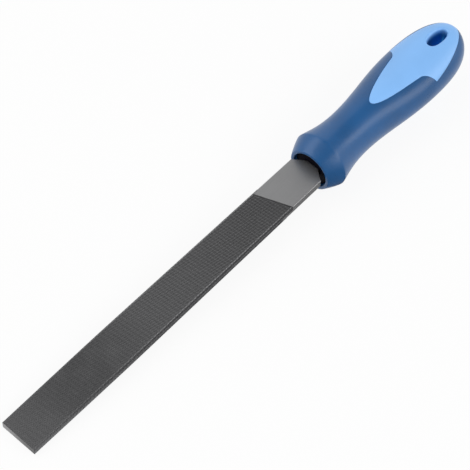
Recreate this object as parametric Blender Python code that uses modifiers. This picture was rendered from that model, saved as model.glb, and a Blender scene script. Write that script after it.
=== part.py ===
"""A flat file: a cut steel blade whose tang sits in a two-component moulded handle.

X runs along the file with the tip at -X and the handle at +X, Z is normal to the blade's flat faces,
and the origin is on the axis at the middle of the overall length. The nominal length runs from the
tip to the blade's shoulders.
"""
import math

import bmesh
import bpy
from mathutils import Matrix

MM = 0.001

# Steel blade
BLADE_LENGTH = 200.0 * MM
BLADE_WIDTH = 20.2 * MM
BLADE_THICKNESS = 5.4 * MM
BELLY_FROM_TIP = 60.0 * MM
TIP_WIDTH = 19.5 * MM
TIP_THICKNESS = 4.3 * MM
HEEL_WIDTH = 18.8 * MM
HEEL_THICKNESS = 4.8 * MM
HEEL_LENGTH = 28.5 * MM
SHOULDER_SLOPE = 4.0 * MM

# Teeth of the two flat faces
TOOTH_PITCH = 0.9 * MM
TOOTH_DEPTH = 0.35 * MM
TOOTH_FACE_SHARE = 0.22
TOOTH_LEAN = math.radians(18.5)

# Tang
TANG_LENGTH = 62.0 * MM
TANG_WIDTH = 9.0 * MM
TANG_THICKNESS = 4.2 * MM
TANG_END_WIDTH = 3.2 * MM
TANG_END_THICKNESS = 2.4 * MM

# Outer form of the handle, from its rim at the mouth to its butt
MOUTH_LIP = 1.8 * MM
HANDLE_LENGTH = 115.7 * MM
RIM_RADIUS = 12.0 * MM
FLANGE_FROM_RIM = 9.2 * MM
FLANGE_RADIUS = 15.6 * MM
WAIST_FROM_RIM = 31.1 * MM
WAIST_RADIUS = 12.35 * MM
BULGE_FROM_RIM = 79.6 * MM
BULGE_HALF_WIDTH = 16.7 * MM
BULGE_HALF_HEIGHT = 12.0 * MM
NOSE_POWER = 1.25
NECK_POWER = 0.64
BUTT_POWER = 2.45
CROWN_POWER = 3.7
ROUND_POWER = 2.0
BOXY_POWER = 2.25

# Soft grip over the hard core, with the window where the core shows
GRIP_WALL = 2.6 * MM
WINDOW_TIP_FROM_RIM = 44.5 * MM
WINDOW_LOBE_FROM_RIM = 76.5 * MM
WINDOW_CORNER_FROM_RIM = 81.9 * MM
WINDOW_END_FROM_BUTT = 0.9 * MM
WINDOW_NECK_HALF_WIDTH = 9.2 * MM
WINDOW_CORNER_HALF_WIDTH = 15.0 * MM
TONGUE_BLUNTNESS = 0.92
LOBE_POWER = 1.35
BAND_BLUNTNESS = 0.6

# Collar in the handle's mouth
MOUTH_RADIUS = 10.3 * MM
COLLAR_LENGTH = 6.0 * MM
COLLAR_CHAMFER = 0.8 * MM

# Hanging hole through the butt
HOLE_FROM_BUTT = 15.8 * MM
HOLE_LENGTH = 14.7 * MM
HOLE_WIDTH = 6.9 * MM
HOLE_ROUNDING = 1.3 * MM

# Clearance between pieces that seat on each other, and how far cutters run past what they cut
SEAT_GAP = 0.3 * MM
OVERRUN = 2.0 * MM

# Fineness of the curved forms
RING_POINTS = 40
NOSE_RINGS = 5
NECK_RINGS = 7
BODY_RINGS = 9
BUTT_RINGS = 9
FLANK_POINTS = 9
ROUND_POINTS = 6

# Places along X that follow from the sizes
OVERALL_LENGTH = BLADE_LENGTH + HANDLE_LENGTH - MOUTH_LIP
TIP_X = -0.5 * OVERALL_LENGTH
BELLY_X = TIP_X + BELLY_FROM_TIP
SHOULDER_X = TIP_X + BLADE_LENGTH
SLOPE_X = SHOULDER_X - SHOULDER_SLOPE
CUT_END_X = SHOULDER_X - HEEL_LENGTH
TANG_END_X = SHOULDER_X + TANG_LENGTH
RIM_X = SHOULDER_X - MOUTH_LIP
BUTT_X = RIM_X + HANDLE_LENGTH
FLANGE_X = RIM_X + FLANGE_FROM_RIM
WAIST_X = RIM_X + WAIST_FROM_RIM
BULGE_X = RIM_X + BULGE_FROM_RIM
COLLAR_X = SHOULDER_X + SEAT_GAP
CORE_X = COLLAR_X + COLLAR_LENGTH + SEAT_GAP
HOLE_X = BUTT_X - HOLE_FROM_BUTT


def clear_scene():
    for obj in list(bpy.data.objects):
        bpy.data.objects.remove(obj, do_unlink=True)


def new_collection(name):
    collection = bpy.data.collections.new(name)
    bpy.context.scene.collection.children.link(collection)
    return collection


def new_material(name, colour, roughness, metallic):
    material = bpy.data.materials.new(name)
    material.use_nodes = True
    shader = material.node_tree.nodes["Principled BSDF"]
    shader.inputs["Base Color"].default_value = (*colour, 1.0)
    shader.inputs["Roughness"].default_value = roughness
    shader.inputs["Metallic"].default_value = metallic
    material.diffuse_color = (*colour, 1.0)
    return material


def add_object(name, mesh, collection):
    obj = bpy.data.objects.new(name, mesh)
    collection.objects.link(obj)
    return obj


def mesh_from_bmesh(name, shape):
    bmesh.ops.recalc_face_normals(shape, faces=shape.faces)
    mesh = bpy.data.meshes.new(name)
    shape.to_mesh(mesh)
    shape.free()
    return mesh


def mark_as_cutter(obj):
    obj.hide_render = True
    obj.display_type = "WIRE"
    return obj


def add_boolean(obj, operation, other):
    modifier = obj.modifiers.new(other.name, "BOOLEAN")
    modifier.operation = operation
    modifier.solver = "EXACT"
    modifier.object = other


def extruded_outline(name, points, half_depth, collection):
    """A flat outline in XY, thickened by half_depth to each side, as a closed mesh."""
    data = bpy.data.curves.new(name, "CURVE")
    data.dimensions = "2D"
    data.fill_mode = "BOTH"
    data.extrude = half_depth
    spline = data.splines.new("POLY")
    spline.points.add(len(points) - 1)
    for point, (x, y) in zip(spline.points, points):
        point.co = (x, y, 0.0, 1.0)
    spline.use_cyclic_u = True
    curve = bpy.data.objects.new(name + "_outline", data)
    collection.objects.link(curve)
    graph = bpy.context.evaluated_depsgraph_get()
    mesh = bpy.data.meshes.new_from_object(curve.evaluated_get(graph))
    shape = bmesh.new()
    shape.from_mesh(mesh)
    bmesh.ops.remove_doubles(shape, verts=shape.verts, dist=0.001 * MM)
    bmesh.ops.recalc_face_normals(shape, faces=shape.faces)
    shape.to_mesh(mesh)
    shape.free()
    solid = add_object(name, mesh, collection)
    solid.matrix_world = curve.matrix_world
    bpy.data.objects.remove(curve, do_unlink=True)
    return solid


def tapered_box(name, near_x, far_x, near_half, far_half, collection):
    """A box along X whose half width and half thickness go from near_half to far_half."""
    shape = bmesh.new()
    bmesh.ops.create_cube(shape, size=2.0)
    for vert in shape.verts:
        at_near_end = vert.co.x < 0.0
        half_width, half_thickness = near_half if at_near_end else far_half
        vert.co.x = near_x if at_near_end else far_x
        vert.co.y *= half_width
        vert.co.z *= half_thickness
    return add_object(name, mesh_from_bmesh(name, shape), collection)


def ease(share):
    """From 0 to 1 with level ends."""
    return 0.5 - 0.5 * math.cos(math.pi * min(max(share, 0.0), 1.0))


def fall(share, power):
    """From 1 to 0 along a quarter of a superellipse."""
    return max(0.0, 1.0 - share ** power) ** (1.0 / power)


# Blade


def crest_height(x):
    """Half thickness over the tooth crests: full at mid length, thinner to the tip."""
    middle = 0.5 * (TIP_X + CUT_END_X)
    share = max(0.0, (middle - x) / (middle - TIP_X))
    return 0.5 * (BLADE_THICKNESS - (BLADE_THICKNESS - TIP_THICKNESS) * share ** 2)


def blade_outline():
    """Plan of the blade: widest at its belly, narrower to the tip and the heel, with sloped shoulders."""
    places = [(TIP_X, TIP_WIDTH), (BELLY_X, BLADE_WIDTH), (SLOPE_X, HEEL_WIDTH), (SHOULDER_X, TANG_WIDTH)]
    upper = [(x, 0.5 * width) for x, width in places]
    return upper + [(x, -y) for x, y in reversed(upper)]


def tooth_profile():
    """Side view of what is cut away above the upper face, teeth first and then the plain heel."""
    reach = 0.5 * BLADE_WIDTH * math.tan(TOOTH_LEAN) + OVERRUN
    count = math.ceil((CUT_END_X - TIP_X + reach) / TOOTH_PITCH)
    points = []
    for i in range(count):
        x = CUT_END_X - (count - i) * TOOTH_PITCH
        points.append((x, crest_height(x) - TOOTH_DEPTH))
        points.append((x + TOOTH_FACE_SHARE * TOOTH_PITCH, crest_height(x)))
    roof = 0.5 * BLADE_THICKNESS + OVERRUN
    points.append((CUT_END_X, 0.5 * HEEL_THICKNESS))
    points.append((SHOULDER_X + reach, 0.5 * HEEL_THICKNESS))
    points.append((SHOULDER_X + reach, roof))
    points.append((points[0][0], roof))
    return points


def tooth_cutter(name, collection):
    cutter = extruded_outline(name, tooth_profile(), BLADE_WIDTH, collection)
    lean = Matrix.Identity(4)
    lean[0][1] = -math.tan(TOOTH_LEAN)
    cutter.data.transform(lean @ Matrix.Rotation(math.radians(90.0), 4, "X"))
    return mark_as_cutter(cutter)


def make_blade(parts, cutters):
    half_thickness = 0.5 * (BLADE_THICKNESS + OVERRUN)
    blade = extruded_outline("file_blade", blade_outline(), half_thickness, parts)
    upper = tooth_cutter("upper_teeth_cutter", cutters)
    lower = tooth_cutter("lower_teeth_cutter", cutters)
    lower.data.transform(Matrix.Rotation(math.radians(180.0), 4, "X"))
    add_boolean(blade, "DIFFERENCE", upper)
    add_boolean(blade, "DIFFERENCE", lower)
    near_half = (0.5 * TANG_WIDTH - SEAT_GAP, 0.5 * TANG_THICKNESS)
    far_half = (0.5 * TANG_END_WIDTH, 0.5 * TANG_END_THICKNESS)
    tang = tapered_box("tang_form", SLOPE_X, TANG_END_X, near_half, far_half, cutters)
    add_boolean(blade, "UNION", mark_as_cutter(tang))
    return blade


def tang_socket(collection):
    """Room for the tang, with clearance all round, through the collar and into the core."""
    near_half = (0.5 * TANG_WIDTH + SEAT_GAP, 0.5 * TANG_THICKNESS + SEAT_GAP)
    far_half = (0.5 * TANG_END_WIDTH + SEAT_GAP, 0.5 * TANG_END_THICKNESS + SEAT_GAP)
    far_x = TANG_END_X + SEAT_GAP
    return mark_as_cutter(tapered_box("tang_socket", SLOPE_X, far_x, near_half, far_half, collection))


# Handle


def handle_section(x, inset=0.0):
    """Half width, half height and superellipse power of the handle at x, drawn in by inset."""
    flange, waist = FLANGE_RADIUS - inset, WAIST_RADIUS - inset
    bulge, crown, butt_x = BULGE_HALF_WIDTH - inset, BULGE_HALF_HEIGHT - inset, BUTT_X - inset
    swell = ease((x - WAIST_X) / (BULGE_X - WAIST_X))
    if x < FLANGE_X:
        share = (FLANGE_X - x) / FLANGE_FROM_RIM
        half_width = RIM_RADIUS - inset + (FLANGE_RADIUS - RIM_RADIUS) * fall(share, NOSE_POWER)
    elif x < WAIST_X:
        share = (x - FLANGE_X) / (WAIST_X - FLANGE_X)
        half_width = flange + (waist - flange) * ease(share ** NECK_POWER)
    elif x < BULGE_X:
        half_width = waist + (bulge - waist) * swell
    else:
        share = min(1.0, (x - BULGE_X) / (butt_x - BULGE_X))
        half_width = bulge * fall(share, BUTT_POWER)
    if x < WAIST_X:
        half_height = half_width
    elif x < BULGE_X:
        half_height = waist + (crown - waist) * swell
    else:
        half_height = crown * fall(share, CROWN_POWER)
    power = ROUND_POWER + (BOXY_POWER - ROUND_POWER) * ease((x - WAIST_X) / (butt_x - WAIST_X))
    return half_width, half_height, power


def surface_height(x, y):
    half_width, half_height, power = handle_section(x)
    return half_height * fall(min(1.0, abs(y) / half_width), power)


def ring_stations(first_x, inset):
    """Places of the rings, closer together where the form turns."""
    stations = [first_x]
    if first_x < FLANGE_X:
        for i in range(1, NOSE_RINGS + 1):
            stations.append(first_x + (FLANGE_X - first_x) * ease(i / NOSE_RINGS))
    start = stations[-1]
    stations += [start + (WAIST_X - start) * i / NECK_RINGS for i in range(1, NECK_RINGS + 1)]
    stations += [WAIST_X + (BULGE_X - WAIST_X) * i / BODY_RINGS for i in range(1, BODY_RINGS + 1)]
    for i in range(1, BUTT_RINGS):
        turn = 0.5 * math.pi * i / BUTT_RINGS
        reach = BUTT_X - inset - BULGE_X
        stations.append(BULGE_X + reach * math.sin(turn) ** (2.0 / BUTT_POWER))
    return stations


def section_ring(shape, x, inset):
    half_width, half_height, power = handle_section(x, inset)
    ring = []
    for i in range(RING_POINTS):
        turn = 2.0 * math.pi * i / RING_POINTS
        across, up = math.cos(turn), math.sin(turn)
        y = half_width * math.copysign(abs(across) ** (2.0 / power), across)
        z = half_height * math.copysign(abs(up) ** (2.0 / power), up)
        ring.append(shape.verts.new((x, y, z)))
    return ring


def bridge(shape, first, second):
    for i in range(len(first)):
        j = (i + 1) % len(first)
        shape.faces.new((first[i], first[j], second[j], second[i]))


def handle_form(name, first_x, inset, collection):
    """The handle's form from first_x to its butt, drawn in by inset, as a closed loft."""
    shape = bmesh.new()
    rings = [section_ring(shape, x, inset) for x in ring_stations(first_x, inset)]
    for first, second in zip(rings, rings[1:]):
        bridge(shape, first, second)
    shape.faces.new(rings[0])
    pole = shape.verts.new((BUTT_X - inset, 0.0, 0.0))
    for i in range(RING_POINTS):
        shape.faces.new((rings[-1][i], rings[-1][(i + 1) % RING_POINTS], pole))
    return add_object(name, mesh_from_bmesh(name, shape), collection)


def window_side():
    """One long side of the window, from its tongue's tip to its end at the butt."""
    tip_x, lobe_x = RIM_X + WINDOW_TIP_FROM_RIM, RIM_X + WINDOW_LOBE_FROM_RIM
    corner_x, end_x = RIM_X + WINDOW_CORNER_FROM_RIM, BUTT_X - WINDOW_END_FROM_BUTT
    points = []
    for i in range(FLANK_POINTS):
        root = i / FLANK_POINTS
        spread = TONGUE_BLUNTNESS * root + (1.0 - TONGUE_BLUNTNESS) * root ** 2
        points.append((tip_x + (lobe_x - tip_x) * root ** 2, WINDOW_NECK_HALF_WIDTH * spread))
    for i in range(ROUND_POINTS):
        share = i / ROUND_POINTS
        flare = (WINDOW_CORNER_HALF_WIDTH - WINDOW_NECK_HALF_WIDTH) * share ** LOBE_POWER
        points.append((lobe_x + (corner_x - lobe_x) * share, WINDOW_NECK_HALF_WIDTH + flare))
    for i in range(FLANK_POINTS + 1):
        turn = 0.5 * math.pi * i / FLANK_POINTS
        run = math.sin(turn)
        spread = BAND_BLUNTNESS * math.cos(turn) + (1.0 - BAND_BLUNTNESS) * (1.0 - run)
        points.append((corner_x + (end_x - corner_x) * run, WINDOW_CORNER_HALF_WIDTH * spread))
    return points


def window_outline(growth):
    """The window's outline, grown outwards by growth."""
    side = window_side()
    outline = side[:-1] + [(x, -y) for x, y in reversed(side[1:])]
    grown = []
    for i, (x, y) in enumerate(outline):
        before = outline[i - 1]
        after = outline[(i + 1) % len(outline)]
        run_x, run_y = after[0] - before[0], after[1] - before[1]
        length = math.hypot(run_x, run_y)
        grown.append((x - growth * run_y / length, y + growth * run_x / length))
    return grown


def window_prism(name, growth, collection):
    half_depth = BULGE_HALF_WIDTH + OVERRUN
    return mark_as_cutter(extruded_outline(name, window_outline(growth), half_depth, collection))


def hole_ring(shape, growth, height_at):
    """An obround ring of the hanging hole, grown by growth, with its height at each point."""
    radius = 0.5 * HOLE_WIDTH + growth
    half_straight = 0.5 * (HOLE_LENGTH - HOLE_WIDTH)
    ring = []
    for end, start in ((1.0, -0.5 * math.pi), (-1.0, 0.5 * math.pi)):
        for i in range(ROUND_POINTS + 1):
            turn = start + math.pi * i / ROUND_POINTS
            x = HOLE_X + end * half_straight + radius * math.cos(turn)
            y = radius * math.sin(turn)
            ring.append(shape.verts.new((x, y, height_at(x, y))))
    return ring


def make_hole_cutter(collection):
    """The hanging hole with its rounded rims, which follow the butt's crown."""
    turns = [math.radians(angle) for angle in (0.0, 25.0, 50.0, 75.0)]
    rims = [(HOLE_ROUNDING * (1.0 - math.cos(t)), HOLE_ROUNDING * (1.0 - math.sin(t))) for t in turns]
    rims.append((rims[-1][0], -OVERRUN))
    shape = bmesh.new()
    rings = []
    for side, order in ((-1.0, reversed(rims)), (1.0, rims)):
        for growth, depth in order:
            rings.append(hole_ring(shape, growth, lambda x, y: side * (surface_height(x, y) - depth)))
    for first, second in zip(rings, rings[1:]):
        bridge(shape, first, second)
    shape.faces.new(rings[0])
    shape.faces.new(rings[-1])
    name = "hanging_hole_cutter"
    return mark_as_cutter(add_object(name, mesh_from_bmesh(name, shape), collection))


def make_core(parts, cutters, socket):
    core = handle_form("handle_core", CORE_X, GRIP_WALL, parts)
    shown = mark_as_cutter(handle_form("window_form", RIM_X, 0.0, cutters))
    add_boolean(shown, "INTERSECT", window_prism("window_prism", 0.0, cutters))
    add_boolean(core, "UNION", shown)
    add_boolean(core, "DIFFERENCE", make_hole_cutter(cutters))
    add_boolean(core, "DIFFERENCE", socket)
    return core


def make_grip(parts, cutters):
    grip = handle_form("soft_grip", RIM_X, 0.0, parts)
    cavity = handle_form("grip_cavity", CORE_X - SEAT_GAP, GRIP_WALL - SEAT_GAP, cutters)
    add_boolean(grip, "DIFFERENCE", mark_as_cutter(cavity))
    add_boolean(grip, "DIFFERENCE", window_prism("grip_window_prism", SEAT_GAP, cutters))
    front, back = RIM_X - OVERRUN, CORE_X
    bore = cylinder_along_x("mouth_bore", MOUTH_RADIUS, front, back, cutters)
    add_boolean(grip, "DIFFERENCE", mark_as_cutter(bore))
    return grip


# Collar


def cylinder_along_x(name, radius, first_x, last_x, collection):
    shape = bmesh.new()
    bmesh.ops.create_cone(shape, cap_ends=True, segments=RING_POINTS, radius1=radius, radius2=radius,
                          depth=last_x - first_x)
    turn = Matrix.Rotation(math.radians(90.0), 4, "Y")
    middle = Matrix.Translation((0.5 * (first_x + last_x), 0.0, 0.0))
    bmesh.ops.transform(shape, matrix=middle @ turn, verts=shape.verts)
    return add_object(name, mesh_from_bmesh(name, shape), collection)


def make_collar(parts, socket):
    last_x = COLLAR_X + COLLAR_LENGTH
    collar = cylinder_along_x("mouth_collar", MOUTH_RADIUS - SEAT_GAP, COLLAR_X, last_x, parts)
    chamfer = collar.modifiers.new("chamfer", "BEVEL")
    chamfer.width = COLLAR_CHAMFER
    chamfer.segments = 2
    chamfer.limit_method = "ANGLE"
    chamfer.angle_limit = math.radians(40.0)
    add_boolean(collar, "DIFFERENCE", socket)
    return collar


def finish_piece(obj, material, sharp_angle):
    obj.data.materials.append(material)
    obj.data.shade_smooth()
    obj.data.set_sharp_from_angle(angle=math.radians(sharp_angle))


def main():
    clear_scene()
    parts = new_collection("flat_file")
    cutters = new_collection("flat_file_cutters")
    socket = tang_socket(cutters)
    steel = new_material("hardened_steel", (0.10, 0.10, 0.105), 0.45, 0.9)
    black = new_material("black_plastic", (0.006, 0.005, 0.008), 0.5, 0.0)
    light_blue = new_material("light_blue_plastic", (0.25, 0.49, 0.95), 0.4, 0.0)
    dark_blue = new_material("dark_blue_rubber", (0.04, 0.12, 0.28), 0.55, 0.0)
    finish_piece(make_blade(parts, cutters), steel, 20.0)
    finish_piece(make_collar(parts, socket), black, 35.0)
    finish_piece(make_core(parts, cutters, socket), light_blue, 35.0)
    finish_piece(make_grip(parts, cutters), dark_blue, 35.0)


main()
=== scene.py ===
"""Visual pieces, finishes and studio for a flat file, laid out as an add-on and run as a script."""
import math

import bmesh
import bpy
import numpy as np
from bpy.props import FloatProperty, FloatVectorProperty, PointerProperty
from mathutils import Matrix, Vector


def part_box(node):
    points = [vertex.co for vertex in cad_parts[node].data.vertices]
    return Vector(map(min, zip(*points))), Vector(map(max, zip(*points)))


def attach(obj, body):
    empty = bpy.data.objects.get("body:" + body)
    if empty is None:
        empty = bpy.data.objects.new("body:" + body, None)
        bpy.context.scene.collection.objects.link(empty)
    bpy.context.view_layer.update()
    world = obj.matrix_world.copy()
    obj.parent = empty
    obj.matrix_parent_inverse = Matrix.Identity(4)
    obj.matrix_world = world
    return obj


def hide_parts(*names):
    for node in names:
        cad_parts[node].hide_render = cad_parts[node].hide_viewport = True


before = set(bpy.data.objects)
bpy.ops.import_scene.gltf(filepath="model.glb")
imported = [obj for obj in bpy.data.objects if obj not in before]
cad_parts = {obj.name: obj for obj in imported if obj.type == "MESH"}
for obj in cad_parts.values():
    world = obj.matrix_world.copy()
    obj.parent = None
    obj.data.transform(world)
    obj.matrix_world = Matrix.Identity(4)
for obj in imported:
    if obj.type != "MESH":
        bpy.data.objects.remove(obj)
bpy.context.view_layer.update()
BLADE_LOW, BLADE_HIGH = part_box("file_blade")
GRIP_LOW, GRIP_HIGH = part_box("soft_grip")
COLLAR_LOW, COLLAR_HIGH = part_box("mouth_collar")

bl_info = {
    "name": "Flat file",
    "version": (1, 0, 0),
    "blender": (4, 5, 0),
    "location": "3D View > Sidebar > Flat File",
    "description": "Builds a flat file with a moulded handle and the studio that shows it",
    "category": "Add Mesh",
}

MM = 0.001
WELD = 0.002 * MM
NEGLIGIBLE = 1e-9
BLACK = (0.0, 0.0, 0.0)
WHITE = (1.0, 1.0, 1.0)
MIRROR_Y = np.array((1.0, -1.0, 1.0))
MIRROR_Z = np.array((1.0, 1.0, -1.0))


# Settings that a user can change


def length(name, description, millimetres):
    """A length, given here in millimetres."""
    return FloatProperty(name=name, description=description, default=millimetres * MM, min=0.0,
                         precision=5, unit="LENGTH")


def angle(name, description, degrees):
    """An angle, given here in degrees."""
    return FloatProperty(name=name, description=description, default=math.radians(degrees), subtype="ANGLE")


def share(name, description, value):
    """A share of a whole."""
    return FloatProperty(name=name, description=description, default=value, min=0.0, soft_max=1.0)


def power(name, description, value):
    """An exponent that sets how full or how square a form is."""
    return FloatProperty(name=name, description=description, default=value, min=0.1, soft_max=8.0)


def colour(name, description, value):
    """A colour in linear light."""
    return FloatVectorProperty(name=name, description=description, default=value, size=3, min=0.0,
                               soft_max=1.0, subtype="COLOR")


def position(name, description, metres):
    """A place in the studio, in metres."""
    return FloatVectorProperty(name=name, description=description, default=metres, size=3,
                               subtype="TRANSLATION", unit="LENGTH")


def wattage(name, description, watts):
    """The power of a lamp."""
    return FloatProperty(name=name, description=description, default=watts, min=0.0, unit="POWER")


class FlatFileBladeSettings(bpy.types.PropertyGroup):
    """Sizes of the steel blade and colours of its finishes."""
    blade_length: length("Blade length", "Nominal length, from the tip to the shoulders", 200.0)
    belly_from_tip: length("Belly from tip", "How far behind the tip the blade is widest", 60.0)
    tip_width: length("Tip width", "Width across the square tip", 20.2)
    tip_thickness: length("Tip thickness", "Thickness over the teeth at the tip", 4.3)
    heel_width: length("Heel width", "Width of the plain heel at its shoulders", 19.2)
    heel_thickness: length("Heel thickness", "Thickness of the plain heel", 4.8)
    heel_length: length("Heel length", "Length of the plain heel on the axis", 28.5)
    shoulder_slope: length("Shoulder slope", "Length of the sloped shoulders", 4.0)
    edge_break: length("Edge break", "Rounding of the plain heel's edges", 0.25)
    tang_width: length("Tang width", "Width of the tang where it leaves the shoulders", 8.4)
    tang_thickness: length("Tang thickness", "Thickness of the tang at the shoulders", 4.2)
    tang_end_width: length("Tang end width", "Width of the tang at its end", 3.2)
    tang_end_thickness: length("Tang end thickness", "Thickness of the tang at its end", 2.4)
    tang_break: length("Tang break", "Bevel of the tang's corners", 0.35)
    upcut_pitch: length("Upcut pitch", "Spacing of the main tooth rows along the blade", 0.856)
    upcut_depth: length("Upcut depth", "Depth of the main tooth rows", 0.22)
    upcut_lean: angle("Upcut lean", "Lean of the main tooth rows from square across", 21.2)
    upcut_face: share("Upcut face", "Share of the pitch that the steep tooth face takes", 0.22)
    overcut_pitch: length("Overcut pitch", "Spacing of the crossing cuts along the blade", 1.024)
    overcut_depth: length("Overcut depth", "Depth of the crossing cuts", 0.1)
    overcut_lean: angle("Overcut lean", "Lean of the crossing cuts from square across", 39.0)
    overcut_rise: share("Overcut rise", "Share of the pitch where the land after a crossing cut starts", 0.3)
    overcut_fall: share("Overcut fall", "Share of the pitch where the land after a crossing cut ends", 0.75)
    tip_wear: share("Tip wear", "Share of the tooth depth worn away at the tip", 0.5)
    edge_pitch: length("Edge pitch", "Spacing of the teeth on the narrow edges", 0.9)
    edge_depth: length("Edge depth", "Depth of the teeth on the narrow edges", 0.14)
    edge_face: share("Edge face", "Share of the pitch that the steep face of an edge tooth takes", 0.35)
    burr: length("Burr", "How far the cut raises the long edges", 0.2)
    burr_highlight_width: length("Burr width", "Width of the bright burr along the long edges", 0.65)
    band_pitch: length("Band pitch", "Spacing of the faint bands across the teeth, at the heel", 1.78)
    band_spread: share("Band spread", "How much the bands' spacing grows towards the tip", 0.165)
    band_lean: share("Band lean", "Lean of the bands, as a slope", 0.1)
    band_depth: share("Band depth", "How dark the bands are at the heel", 0.29)
    band_fade: share("Band fade", "How much of the bands' darkness is lost at the tip", 0.22295)
    heel_colour: colour("Heel steel", "Ground steel of the plain heel", (0.345, 0.345, 0.35))
    cut_colour: colour("Cut steel", "Hardened steel on the tooth crests", (0.235, 0.235, 0.24))
    root_colour: colour("Tooth roots", "Darker steel in the roots of the teeth", (0.085, 0.085, 0.088))
    side_colour: colour("Side steel", "Scaled steel of the narrow edges", (0.11, 0.11, 0.115))


class FlatFileHandleSettings(bpy.types.PropertyGroup):
    """Sizes of the two-component handle, colours of its plastics, and the painted shade in its mouth and
    hanging hole.
    """
    rim_radius: length("Rim radius", "Outer radius at the mouth", 11.75)
    rim_roll: length("Rim roll", "Length of the rolled rim at the mouth", 0.35)
    mouth_radius: length("Mouth radius", "Radius of the bore in the mouth", 10.15)
    mouth_depth: length("Mouth depth", "Depth of the bore in the mouth", 8.0)
    flange_from_rim: length("Flange from rim", "How far behind the rim the flange is widest", 8.8)
    flange_radius: length("Flange radius", "Radius of the flange", 15.7)
    waist_from_rim: length("Waist from rim", "How far behind the rim the waist is slimmest", 31.1)
    waist_radius: length("Waist radius", "Radius of the waist", 12.5)
    bulge_from_rim: length("Bulge from rim", "How far behind the rim the palm swell is widest", 79.6)
    bulge_half_width: length("Bulge half width", "Half width of the palm swell", 17.05)
    bulge_half_height: length("Bulge half height", "Half height of the palm swell", 12.0)
    nose_power: power("Nose power", "Fullness of the nose in front of the flange", 1.12)
    neck_power: power("Neck power", "How early the neck falls behind the flange", 0.59)
    butt_power: power("Butt power", "Fullness of the butt in plan", 2.52)
    crown_power: power("Crown power", "Fullness of the butt from the side", 4.6)
    round_power: power("Round power", "Squareness of the section at the waist", 2.0)
    boxy_power: power("Boxy power", "Squareness of the section at the butt", 2.25)
    roll: angle("Roll", "How far the palm swell is turned about the handle's axis", 3.5)
    tongue_roll: angle("Tongue roll", "How far the waist is turned about the handle's axis", -7.0)
    yaw: angle("Yaw", "How far the handle's axis is turned sideways from the blade's", 0.4)
    grip_wall: length("Grip wall", "Thickness of the soft grip over the core", 2.6)
    seat_gap: length("Seat gap", "Seam between the grip and the core", 0.06)
    seam_round: length("Seam rounding", "Rounding of the edges along the seam", 0.22)
    window_tip: length("Window tip", "How far behind the rim the light tongue starts", 44.5)
    window_lobe: length("Window lobe", "How far behind the rim the grip's lobes start to round", 75.0)
    window_corner: length("Window corner", "How far behind the rim the window is widest", 81.3)
    window_end: length("Window end", "How far in front of the butt the window ends", 0.9)
    window_neck: length("Window neck", "Half width of the window at the lobes", 9.35)
    window_width: length("Window width", "Half width of the window at its corners", 15.3)
    tongue_bluntness: share("Tongue bluntness", "How round the tongue's tip is", 0.92)
    lobe_power: power("Lobe power", "How the lobes round off", 2.1)
    band_bluntness: share("Band bluntness", "How round the window is at the butt", 0.84)
    hole_from_butt: length("Hole from butt", "Place of the hanging hole", 15.0)
    hole_length: length("Hole length", "Length of the hanging hole", 13.9)
    hole_width: length("Hole width", "Width of the hanging hole", 6.6)
    hole_rounding: length("Hole rounding", "Rounding of the hole's rims", 1.6)
    hole_power: power("Hole power", "Squareness of the hanging hole's oval", 2.3)
    socket_width: length("Socket width", "Width of the tang's socket at its mouth", 9.4)
    socket_height: length("Socket height", "Height of the tang's socket at its mouth", 4.8)
    socket_end_width: length("Socket end width", "Width of the tang's socket at its end", 3.8)
    socket_end_height: length("Socket end height", "Height of the tang's socket at its end", 3.0)
    slot_width: length("Slot width", "Width of the tang's slot in the collar", 9.6)
    slot_height: length("Slot height", "Height of the tang's slot in the collar", 4.8)
    slot_break: length("Slot break", "Bevel of the slot's front edge", 0.2)
    collar_round: length("Collar rounding", "Rounding of the collar's outer edges", 0.8)
    grip_colour: colour("Grip", "Dark blue of the soft grip", (0.0065, 0.084, 0.247))
    core_colour: colour("Core", "Light blue of the hard core", (0.25, 0.53, 0.98))
    # Painted shade: the colour that stands for the shade inside the hanging hole.
    hole_shade_colour: colour("Hole", "Deeper blue inside the hanging hole", (0.002, 0.18, 0.52))
    # Black plastic, made deeper as painted shade of the mouth's recess.
    collar_black_and_shade: colour("Collar", "Black of the mouth's collar", (0.003, 0.0025, 0.006))


class FlatFileStageSettings(bpy.types.PropertyGroup):
    """The studio's camera, floor and lights."""
    camera_place: position("Camera place", "Where the camera stands", (-0.37185, -0.29487, 0.72226))
    camera_turn: FloatVectorProperty(name="Camera turn", description="How the camera is turned", size=3,
                                     default=(math.radians(32.812), math.radians(-1.570),
                                              math.radians(-48.162)), subtype="EULER")
    lens: FloatProperty(name="Lens", description="Focal length in millimetres", default=137.87, min=1.0)
    floor_gap: length("Floor gap", "Gap between the floor and the flange and tip", 0.2)
    floor_colour: colour("Floor", "Pale floor under the file", (0.9, 0.9, 0.9))
    floor_white: share("Floor white", "How far the floor shows as plain white", 0.9)
    sky: share("Sky", "Strength of the even light from all round", 0.5)
    flag: share("Flag", "Brightness of the overhead flag in reflections", 0.35)
    front_flag: share("Front flag", "Brightness of the flags beside the camera in reflections", 0.2)
    flag_height: length("Flag height", "Height of the overhead flag and of the standing ones", 1200.0)
    side_place: position("Side softbox place", "Place of the softbox beside the handle", (0.60, -1.37, 1.10))
    side_power: wattage("Side softbox", "Power of the softbox beside the handle", 16.5)
    top_place: position("Top softbox place", "Place of the softbox behind the blade", (-0.50, 0.70, 1.10))
    top_power: wattage("Top softbox", "Power of the softbox behind the blade", 8.6)


# Finishes written as arithmetic on sockets


def operator(operation):
    """A Python operator on wires that adds a Math node, and its reflected form."""
    return (lambda self, other: self.math(operation, self, other),
            lambda self, other: self.math(operation, other, self))


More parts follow.
